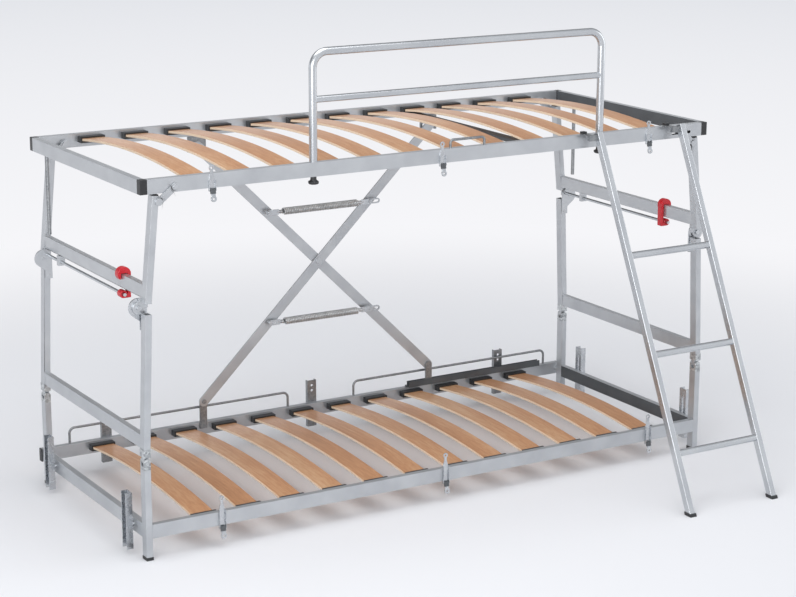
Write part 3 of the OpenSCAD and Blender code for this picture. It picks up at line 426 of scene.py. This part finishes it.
# Painted shade: the end rails' sides that face the bed get the charcoal coat for the shade and dark
# reflection there.
for node in ["lower_end_rails", "upper_end_rails"]:
    rails = soften(node, TUBE_EDGE, silver_coat)
    rails.data.materials.append(charcoal_coat_and_painted_shade)
    for face in rails.data.polygons:
        painted_shade_towards_bed = face.normal.x * face.center.x < 0 and abs(face.normal.x) > SIDEWAYS
        face.material_index = 1 if painted_shade_towards_bed else 0
for node in ["brace_bar_a", "brace_bar_b"]:
    soften(node, BAR_EDGE, silver_coat)
print("tubes and hinge plates:", sum(len(nodes) for nodes in coated.values()))

# %% [markdown]
# What is left are the cast knuckles, the small zinc-plated sheet pieces, the dark
# track, the cross member, whose charcoal coat is painted shade from the slats over
# it, the black mouldings, the two red latch handles and the ladder's stiles.
# Plastic is rounder at its edges than sheet, and a handle that fits the hand is
# the roundest.

# %% Castings, sheet, plastics and stiles
CAST_EDGE, ZINC_EDGE, TRACK_EDGE, PLASTIC_EDGE = 0.8, 0.4, 0.5, 0.8
HANDLE_EDGE, STILE_EDGE = 3.0, 2.5
soften("leg_knuckles", CAST_EDGE, cast_zinc)
zinc_nodes = ["arm_brackets", "back_brackets", "brace_foot", "brace_seats", "brace_slider",
              "ladder_hooks", "upper_spring_left_eye", "upper_spring_right_eye",
              "lower_spring_left_eye", "lower_spring_right_eye"]
for node in zinc_nodes:
    soften(node, ZINC_EDGE, bright_zinc if "eye" in node or "arm" in node else dull_zinc)
# Painted shade: the cross member under the upper slats gets the charcoal coat for the slats' shadow
# on it.
for node in ["brace_track", "upper_cross_member"]:
    soften(node, TRACK_EDGE, charcoal_coat_and_painted_shade)
for node in ["lower_plastic_caps", "upper_corner_plugs", "ladder_caps",
             "lower_slat_holders", "upper_slat_holders"]:
    soften(node, PLASTIC_EDGE, black_plastic)
for node in ["left_handle", "right_handle"]:
    soften(node, HANDLE_EDGE, red_plastic)
soften("ladder_stiles", STILE_EDGE, bright_tube)
print("zinc pieces:", len(zinc_nodes))

# %% [markdown]
# Round rods and tubes need no bevel. Their nodes carry true cylinders, finely
# divided, so they keep their own meshes and only take a finish.

# %% Finishes for the round nodes
round_nodes = {
    "mattress_hoops": dull_zinc, "rail_hoop": dull_zinc, "stop_struts": dull_zinc,
    "left_latch_rod": bright_tube, "right_latch_rod": bright_tube, "guard_rail": bright_tube,
    "ladder_rungs": bright_tube}
for node, material in round_nodes.items():
    mesh = frame["nodes"][node].data
    mesh.materials.clear()
    mesh.materials.append(material)
print("round nodes:", len(round_nodes))

# %% [markdown]
# A slat is pressed from beech sheets in a curved mould and its long edges are
# rounded over. Its section is drawn as a plain rectangle and spun through the
# arc's angle round the centre of curvature, which bends it exactly, and a bevel
# then rounds the edges. The cut sides get the striped material, with a map that
# runs along the sheets.

# %% Arched slats
SLAT_WIDTH, SLAT_THICKNESS, SLAT_RISE = 72 * MM, 8 * MM, 25 * MM
SLAT_PITCH, SLAT_COUNT = 147 * MM, 12
SLAT_STEPS, SLAT_WELD, SLAT_EDGE, CUT_SIDE = 28, 0.01 * MM, 1.8, 0.7


def slat_set(node, name):
    """Twelve slats bent to the node's arc, with striped cut sides."""
    low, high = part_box(node)
    half = (high.y - low.y) / 2
    middle_y = (high.y + low.y) / 2
    radius = (half ** 2 + SLAT_RISE ** 2) / (2 * SLAT_RISE)
    swing = math.asin(half / radius)
    crown = high.z
    centre = Vector((0, middle_y, crown - SLAT_THICKNESS - radius))
    bm = bmesh.new()
    for i in range(SLAT_COUNT):
        x = (i - (SLAT_COUNT - 1) / 2) * SLAT_PITCH
        made = bmesh.ops.create_grid(bm, x_segments=1, y_segments=1, size=0.5)
        verts = made["verts"]
        bmesh.ops.scale(bm, vec=(SLAT_WIDTH, SLAT_THICKNESS, 1), verts=verts)
        bmesh.ops.rotate(bm, cent=(0, 0, 0), matrix=Matrix.Rotation(QUARTER, 3, "X"), verts=verts)
        bmesh.ops.translate(bm, vec=(x, middle_y, crown - SLAT_THICKNESS / 2), verts=verts)
        bmesh.ops.rotate(bm, cent=centre, matrix=Matrix.Rotation(swing, 3, "X"), verts=verts)
        face = [f for f in bm.faces if all(v in verts for v in f.verts)]
        edges = list({e for f in face for e in f.edges})
        bmesh.ops.spin(bm, geom=face + edges + verts, cent=centre, axis=(1, 0, 0),
                       angle=-2 * swing, steps=SLAT_STEPS, use_duplicate=False)
    bmesh.ops.remove_doubles(bm, verts=bm.verts, dist=SLAT_WELD)
    piece = object_from(bm, name, beech, beech_cut)
    mesh = piece.data
    sheets = mesh.uv_layers.new(name="sheets")
    for face in mesh.polygons:
        side = abs(face.normal.x) > CUT_SIDE
        face.material_index = 1 if side else 0
        for loop in face.loop_indices:
            point = mesh.vertices[mesh.loops[loop].vertex_index].co
            out = math.hypot(point.y - centre.y, point.z - centre.z) - radius
            sheets.data[loop].uv = (point.y / MM, out / MM)
    round_edges(piece, SLAT_EDGE)
    return settle(piece, bodies_of[node], slots_of[node], node)


for level in ("lower", "upper"):
    slats = slat_set(f"{level}_slats", f"{level}_beech_slats")
    print(slats.name, "faces:", len(slats.data.polygons))

# %% [markdown]
# The two springs are close-wound from round wire, with the ends drawn in to the
# middle and run straight into their plates. One open curve follows the wire: its
# points come from the coil's pitch and radius, and the curve's bevel gives the
# wire its thickness. The spring crosses from one end plate to the other.

# %% Springs
WIRE_RADIUS, COIL_RADIUS = 3.0 * MM, 9.5 * MM
CURLS, CURL_PITCH, LEAD_IN = 44, 6.4 * MM, 9 * MM
STEPS_PER_CURL, WIRE_ROUNDNESS = 20, 3


def wire_point(turn):
    """The wire after so many turns; before 0 and after CURLS it is drawn in to the axis."""
    outside = max(-turn, turn - CURLS, 0) * 2
    reach = COIL_RADIUS * (1 - min(outside, 1))
    along = (min(max(turn, 0), CURLS) - CURLS / 2) * CURL_PITCH
    along += math.copysign(min(outside, 1) * LEAD_IN, turn - CURLS / 2) if outside else 0
    return Vector((along, reach * math.cos(math.tau * turn), reach * math.sin(math.tau * turn)))


def mesh_of_curve(name, points, radius):
    """A mesh tube with closed ends along a list of points."""
    curve = bpy.data.curves.new(name, "CURVE")
    curve.dimensions = "3D"
    curve.bevel_depth = radius
    curve.bevel_resolution = WIRE_ROUNDNESS
    curve.use_fill_caps = True
    spline = curve.splines.new("POLY")
    spline.points.add(len(points) - 1)
    for spot, point in zip(spline.points, points):
        spot.co = (*point, 1)
    holder = bpy.data.objects.new(name, curve)
    mesh = bpy.data.meshes.new_from_object(holder)
    bpy.data.objects.remove(holder)
    return mesh


def spring(node, name):
    """A wound spring that fills the node's box and stands for the hidden node."""
    low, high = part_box(node)
    middle = (low + high) / 2
    last = int((CURLS + 0.5) * STEPS_PER_CURL)
    turns = [i / STEPS_PER_CURL for i in range(-STEPS_PER_CURL // 2, last + 1)]
    half = (high.x - low.x) / 2
    route = [Vector((-half, 0, 0))] + [wire_point(t) for t in turns] + [Vector((half, 0, 0))]
    mesh = mesh_of_curve(name, [middle + p for p in route], WIRE_RADIUS)
    for face in mesh.polygons:
        face.use_smooth = True
    mesh.materials.append(spring_steel)
    piece = bpy.data.objects.new(name, mesh)
    bpy.context.scene.collection.objects.link(piece)
    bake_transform(piece)
    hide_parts(node)
    return piece


for level in ("upper", "lower"):
    coil = spring(f"{level}_spring", f"{level}_coil_spring")
    print(coil.name, "faces:", len(coil.data.polygons))

# %% [markdown]
# The small fittings are what the eye goes to first, so each one is made again
# with its own shape. They are placed in millimetres from the middle of the front
# rail's face, as the source of the frame is. Three helpers make their forms: a
# block from two corners, a turned form whose section is spun round its axis, and
# a washer, which is the simplest turned form.

# %% Helpers for fittings
TURN_STEPS = 40


def at(x, y, z):
    """A place in mm from the middle of the front rail's face, with z from the floor."""
    return Vector((x * MM, rail_face_y + y * MM, z * MM))


def block(bm, low, high, top_share=1.0):
    """A box between two corners; top_share draws its top in along x."""
    verts = bmesh.ops.create_cube(bm, size=1)["verts"]
    bmesh.ops.scale(bm, vec=high - low, verts=verts)
    upper = [vert for vert in verts if vert.co.z > 0]
    bmesh.ops.scale(bm, vec=(top_share, 1, 1), verts=upper)
    bmesh.ops.translate(bm, vec=(low + high) / 2, verts=verts)
    return verts


def turned(bm, profile, place, turn=None, steps=TURN_STEPS):
    """Spins a closed profile of (radius, height) in mm round z, then turns and places it."""
    before = set(bm.verts)
    verts = [bm.verts.new((radius * MM, 0, height * MM)) for radius, height in profile]
    edges = [bm.edges.new((one, two)) for one, two in zip(verts, verts[1:] + verts[:1])]
    bmesh.ops.spin(bm, geom=verts + edges, cent=(0, 0, 0), axis=(0, 0, 1), angle=math.tau,
                   steps=steps, use_merge=True)
    made = [vert for vert in bm.verts if vert not in before]
    matrix = Matrix.Translation(place) @ (turn or Matrix.Identity(4))
    bmesh.ops.transform(bm, matrix=matrix, verts=made)
    return made


TO_FRONT, TO_RIGHT = Matrix.Rotation(QUARTER, 4, "X"), Matrix.Rotation(QUARTER, 4, "Y")


def washer(bm, place, outer, inner, thick):
    """A flat ring that faces the front; place is the middle of its back face."""
    turned(bm, [(inner, 0), (outer, 0), (outer, thick), (inner, thick)], place, TO_FRONT)


print("fittings are measured from y =", round(rail_face_y / MM, 1), "mm")

# %% [markdown]
# Six clips hold a mattress or a cover on the front rails. Each is a bright sheet
# with a ring on top, narrow shoulders and a folded channel over the rail's face,
# and carries the pin of a lever. The fixed halves of one bed make one piece.

# %% Clips on the front rails
CLIP_TOP = {"upper": 1142, "lower": 158}
CLIP_PIN = {"upper": 1072, "lower": 62}
CLIP_X = {"upper": (-781, -15, 761), "lower": (-770, 5, 797)}
RING_OUT, RING_HOLE, RING_THICK, SHEET = 8, 3.6, 3, 2.4
NECK_HALF, NECK_DROP, SHOULDER_SHARE = 5, 30, 0.5
SHOULDER_TOP, SHOULDER_END, BACK_TOP, BACK_END = 26, 44, 43.9, 5
CHANNEL_HALF, CHANNEL_DEPTH, CHANNEL_SHEET, WALL_TOP, WALL_END = 10, 9, 2.8, 43, 4
WALL_HALF, PIN_OUT, PIN_HEAD = 0.8, 7, [(0.01, 0), (3, 0), (3, 1.6), (0.01, 1.6)]
PIN_STEPS, CLIP_EDGE, CATCH_EDGE, LEVER_EDGE = 20, 0.4, 1.2, 0.5


def clip_base(bm, x, top, pin):
    """The ring, neck, shoulders and channel of one clip, with the heads of its pin."""
    head = top - RING_OUT
    washer(bm, at(x, 0, head), RING_OUT, RING_HOLE, RING_THICK)
    block(bm, at(x - NECK_HALF, -SHEET, top - NECK_DROP),
          at(x + NECK_HALF, 0, head - RING_HOLE - 1))
    left, right = x - CHANNEL_HALF, x + CHANNEL_HALF
    block(bm, at(left, -CHANNEL_SHEET, top - SHOULDER_END), at(right, 0, top - SHOULDER_TOP),
          SHOULDER_SHARE)
    block(bm, at(left, -CHANNEL_SHEET, pin - BACK_END), at(right, 0, top - BACK_TOP))
    for side, wall in ((-1, left), (1, right)):
        block(bm, at(wall - WALL_HALF, -CHANNEL_DEPTH, pin - WALL_END),
              at(wall + WALL_HALF, 0, top - WALL_TOP))
        turned(bm, PIN_HEAD, at(wall + (side - 1) * WALL_HALF, -PIN_OUT, pin), TO_RIGHT, PIN_STEPS)


for level in ("upper", "lower"):
    bm = bmesh.new()
    for x in CLIP_X[level]:
        clip_base(bm, x, CLIP_TOP[level], CLIP_PIN[level])
    node = f"{level}_clip_bases"
    bases = round_edges(object_from(bm, f"{level}_clip_channels", bright_zinc), CLIP_EDGE)
    settle(bases, bodies_of[node], slots_of[node], node)
    print(bases.name, "faces:", len(bases.data.polygons))

# %% [markdown]
# A catch and a lever hang from the clip's pin and swing out together, so both
# ride on the lever's body. They are made hanging straight down and then tipped
# a little forward round the pin, as they hang on the real frame.

# %% Catches and levers
LEVER_TILT = math.radians(-12)
CATCH_HALF, CATCH_FRONT, CATCH_BACK, CATCH_LOW, CATCH_HIGH = 8, 4, 3, 12, 3
TONGUE_HALF, TONGUE_SHEET, TONGUE_LOW, TONGUE_HIGH = 7, 1.5, 24, 9
LOOP_OUT, LOOP_HOLE, LOOP_THICK, LOOP_BACK, LOOP_DROP = 9, 3.4, 4, 2, 26


def swung(verts, bm, x, pin):
    """Tips a lever's vertices out round its pin."""
    bmesh.ops.rotate(bm, cent=at(x, -PIN_OUT, pin), matrix=Matrix.Rotation(LEVER_TILT, 3, "X"),
                     verts=verts)


for level in ("upper", "lower"):
    for side, x in zip(("left", "middle", "right"), CLIP_X[level]):
        node, pin = f"{level}_clip_{side}", CLIP_PIN[level]
        bm = bmesh.new()
        catch = block(bm, at(x - CATCH_HALF, -PIN_OUT - CATCH_FRONT, pin - CATCH_LOW),
                      at(x + CATCH_HALF, -PIN_OUT + CATCH_BACK, pin + CATCH_HIGH))
        swung(catch, bm, x, pin)
        piece = round_edges(object_from(bm, node + "_catch", charcoal_coat_and_painted_shade), CATCH_EDGE)
        settle(piece, bodies_of[node], slots_of[node], node)
        bm = bmesh.new()
        block(bm, at(x - TONGUE_HALF, -PIN_OUT - TONGUE_SHEET, pin - TONGUE_LOW),
              at(x + TONGUE_HALF, -PIN_OUT + TONGUE_SHEET, pin - TONGUE_HIGH))
        washer(bm, at(x, -PIN_OUT + LOOP_BACK, pin - LOOP_DROP), LOOP_OUT, LOOP_HOLE, LOOP_THICK)
        swung(bm.verts[:], bm, x, pin)
        piece = round_edges(object_from(bm, node + "_lever", bright_zinc), LEVER_EDGE)
        settle(piece, bodies_of[node], slots_of[node])
print("clips:", len(CLIP_X["upper"]) + len(CLIP_X["lower"]))

# %% [markdown]
# Under the front rail two black knobs clamp the guard rail. A knob is moulded as
# a bell: a round neck that goes up to the rail and a wide fluted grip under it.
# The profile is spun, and the grip's vertices are then drawn in between lobes.

# %% Clamp knobs
KNOB_PROFILE = [(6.6, 0), (9, 0), (9, -8), (11, -12), (15.5, -14), (16.5, -17), (15.5, -21),
                (12, -23), (6.6, -23)]
KNOB_X, KNOB_Y, KNOB_TOP, KNOB_STEPS = {"left": -449, "right": 575}, 10, 1075.9, 64
LOBES, LOBE_DEPTH, GRIP_FROM = 8, 0.09, 12 * MM
for side, x in KNOB_X.items():
    bm = bmesh.new()
    for vert in turned(bm, KNOB_PROFILE, Vector((0, 0, 0)), steps=KNOB_STEPS):
        if math.hypot(vert.co.x, vert.co.y) > GRIP_FROM:
            wave = 0.5 - 0.5 * math.cos(LOBES * math.atan2(vert.co.y, vert.co.x))
            share = 1 - LOBE_DEPTH * wave
            vert.co.x, vert.co.y = vert.co.x * share, vert.co.y * share
    bmesh.ops.translate(bm, vec=at(x, KNOB_Y, KNOB_TOP), verts=bm.verts)
    node = f"{side}_knob"
    knob = settle(object_from(bm, f"{side}_clamp_knob", black_plastic), node, slots_of[node], node)
    knob.data.set_sharp_from_angle(angle=SHARP)
    print(knob.name, "faces:", len(knob.data.polygons))

# %% [markdown]
# The brace turns on a bolt at its crossing, over a wide bright washer. Bright
# ferrules close the springs' drawn-in ends: each is a short cone, turned from
# one profile and laid along the spring, with its wide rim towards the end plate.

# %% Washer and ferrules
BRACE_FACE, BRACE_CENTRE = 800.9, 612.5
WASHER_OUT, WASHER_HOLE, WASHER_THICK, WASHER_EDGE = 13, 7.3, 1.6, 0.5
bm = bmesh.new()
washer(bm, at(0, BRACE_FACE, BRACE_CENTRE), WASHER_OUT, WASHER_HOLE, WASHER_THICK)
settle(round_edges(object_from(bm, "brace_washer", bright_zinc), WASHER_EDGE),
       bodies_of["brace_bar_a"], slots_of["brace_slider"])

FERRULE = [(1.5, 0), (6.5, 0), (6.5, 3), (3.4, 13), (1.5, 13)]
for level in ("upper", "lower"):
    low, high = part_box(f"{level}_spring")
    middle = (low + high) / 2
    for end, edge, body, turn in (("left", low.x, f"{level}_spring", QUARTER),
                                  ("right", high.x, f"{level}_spring_end", -QUARTER)):
        bm = bmesh.new()
        place = Vector((edge, middle.y, middle.z))
        turned(bm, FERRULE, place, Matrix.Rotation(turn, 4, "Y"))
        ferrule = settle(object_from(bm, f"{level}_{end}_ferrule", bright_zinc), body,
                         slots_of[f"{level}_spring"])
        ferrule.data.set_sharp_from_angle(angle=SHARP)
        print(ferrule.name, "faces:", len(ferrule.data.polygons))

# %% [markdown]
# Black plugs close the tops of the leaning posts, so each is tipped by the lean
# of its post. Cast sleeves stand round the lower posts just over the hips. Both
# are blocks, with one piece for the front and back post of a side.

# %% Post plugs and hip sleeves
POST_Y = (15, 782)
POST_TOP_X, POST_TOP_Z, POST_LEAN = 953, 1070, math.radians(5.8)
PLUG_HALF, PLUG_REACH, PLUG_THICK, PLUG_EDGE = 9, 14, 4, 1
HIP_X, SLEEVE_HALF, SLEEVE_REACH, SLEEVE_EDGE = 1001, 10.7, 15.7, 0.8
SLEEVE_LOW, SLEEVE_HIGH = 313, 337
for side, sign in (("left", -1), ("right", 1)):
    bm = bmesh.new()
    for y in POST_Y:
        plug = block(bm, at(-PLUG_HALF, y - PLUG_REACH, 0),
                     at(PLUG_HALF, y + PLUG_REACH, PLUG_THICK))
        lean = Matrix.Rotation(-sign * POST_LEAN, 3, "Y")
        bmesh.ops.rotate(bm, cent=at(0, y, 0), matrix=lean, verts=plug)
        bmesh.ops.translate(bm, vec=(sign * POST_TOP_X * MM, 0, POST_TOP_Z * MM), verts=plug)
    plugs = round_edges(object_from(bm, f"{side}_post_plugs", black_plastic), PLUG_EDGE)
    settle(plugs, f"{side}_upper_frame", slots_of["upper_corner_plugs"])
    bm = bmesh.new()
    for y in POST_Y:
        block(bm, at(sign * HIP_X - SLEEVE_HALF, y - SLEEVE_REACH, SLEEVE_LOW),
              at(sign * HIP_X + SLEEVE_HALF, y + SLEEVE_REACH, SLEEVE_HIGH))
    sleeves = round_edges(object_from(bm, f"{side}_hip_sleeves", cast_zinc), SLEEVE_EDGE)
    settle(sleeves, f"{side}_lower_frame", slots_of["leg_knuckles"])
    print(plugs.name, sleeves.name)

# %% [markdown]
# The frame stands in a studio on seamless pale paper, which a photographer rolls
# out far behind the object and lights evenly. Near the frame the paper is an
# ordinary matt surface, so it takes the shadows. Further out it fades to its own
# even tone, by the distance from the frame, for the camera and for reflections.

# %% Studio floor
PAPER_NEAR, PAPER_FAR, PAPER_END = 1.4, 4.0, 16.0
PAPER_BODY, NEAR_TONE, END_TONE = "#ebecef", "#f6f6f9", "#e3e5ea"
PAPER_SIZE = 400
floor_material, floor_tree, floor_output = new_material("pale_studio_paper")
paper = add(floor_tree, "BsdfDiffuse", Color=linear(PAPER_BODY))
spot = add(floor_tree, "TexCoord")
distance = add(floor_tree, "VectorMath", {"operation": "LENGTH"}, at0=spot.outputs["Object"])
fade = add(floor_tree, "MapRange", {"interpolation_type": "SMOOTHSTEP"},
           Value=distance.outputs["Value"], at1=PAPER_NEAR, at2=PAPER_FAR)
tone = add(floor_tree, "MapRange", Value=distance.outputs["Value"], at1=PAPER_FAR, at2=PAPER_END)
paper_tone = add(floor_tree, "ValToRGB", stops=[(0.0, NEAR_TONE), (1.0, END_TONE)],
                 Fac=tone.outputs[0])
lit_paper = add(floor_tree, "Emission", Color=paper_tone.outputs[0], Strength=1.0)
rays = add(floor_tree, "LightPath")
seen = add(floor_tree, "Math", {"operation": "MAXIMUM"}, at0=rays.outputs["Is Camera Ray"],
           at1=rays.outputs["Is Glossy Ray"])
share = add(floor_tree, "Math", {"operation": "MULTIPLY"}, at0=fade.outputs[0], at1=seen.outputs[0])
floor_shader = add(floor_tree, "MixShader", at0=share.outputs[0], at1=paper.outputs[0],
                   at2=lit_paper.outputs[0])
finish_with(floor_tree, floor_output, floor_shader)
floor_bm = bmesh.new()
bmesh.ops.create_grid(floor_bm, x_segments=1, y_segments=1, size=PAPER_SIZE)
floor = object_from(floor_bm, "studio_floor", floor_material)
print("paper fades between", PAPER_NEAR, "and", PAPER_FAR, "m")

# %% [markdown]
# Glossy paint shows the room. The light side faces and the darker top faces of
# the rails say that the big lamps stood in front and at the sides, with little
# above and behind. So the world is bright at the front and along the horizon and
# dims above it at the back. The camera itself sees the paper's end tone there, so
# a low view has no hard horizon.

# %% World
FRONT_LIGHT, HORIZON_LIGHT, BACK_LIGHT = 0.95, 1.2, 0.32
LOW, HIGH = 0.10, 0.24
ROOM_TONE = "#f2f4f8"
world = bpy.data.worlds.new("studio")
bpy.context.scene.world = world
world.use_nodes = True
sky_tree = world.node_tree
sky_tree.nodes.clear()
sky_output = add(sky_tree, "OutputWorld")
towards = add(sky_tree, "TexCoord")
parts = add(sky_tree, "SeparateXYZ", Vector=towards.outputs["Generated"])
behind = add(sky_tree, "MapRange", Value=parts.outputs[1], at1=-0.5, at2=0.5)
back_light = add(sky_tree, "MapRange", Value=parts.outputs[2], at1=LOW, at2=HIGH,
                 at3=HORIZON_LIGHT, at4=BACK_LIGHT)
strength = add(sky_tree, "Mix", {"data_type": "FLOAT"}, at0=behind.outputs[0], at2=FRONT_LIGHT,
               at3=back_light.outputs[0])
sky = add(sky_tree, "Background", Color=linear(ROOM_TONE), Strength=strength.outputs[0])
sky_rays = add(sky_tree, "LightPath")
paper_wall = add(sky_tree, "Background", Color=linear(END_TONE), Strength=1.0)
seen_sky = add(sky_tree, "MixShader", at0=sky_rays.outputs["Is Camera Ray"], at1=sky.outputs[0],
               at2=paper_wall.outputs[0])
finish_with(sky_tree, sky_output, seen_sky)
print("world strength at the front and along the horizon:", FRONT_LIGHT, HORIZON_LIGHT)

# %% [markdown]
# One large soft lamp at the front left shapes the tubes, a weak one at the right
# opens the shadows, and one overhead sets the shadow under the frame. A softbox
# is an area lamp that is turned to look at a point; its power is in watts.

# %% Lamps
def softbox(name, place, target, size, power):
    """A rectangular soft lamp at a place, aimed at a target."""
    lamp = bpy.data.lights.new(name, "AREA")
    lamp.shape = "RECTANGLE"
    lamp.size, lamp.size_y = size
    lamp.energy = power
    holder = bpy.data.objects.new(name, lamp)
    holder.location = place
    holder.rotation_euler = (Vector(target) - Vector(place)).to_track_quat("-Z", "Y").to_euler()
    bpy.context.scene.collection.objects.link(holder)
    print(name, "power in watts:", power)


softbox("overhead_softbox", (-0.5, -0.3, 4.2), (0, 0, 0.6), (4, 3), 75)
softbox("front_left_softbox", (-3.6, -3.4, 1.9), (-0.6, 0, 0.7), (3.0, 2.6), 95)
softbox("right_softbox", (4.6, -1.6, 1.8), (0, 0, 0.7), (2.6, 2.4), 25)
bpy.context.scene.view_settings.view_transform = "Standard"
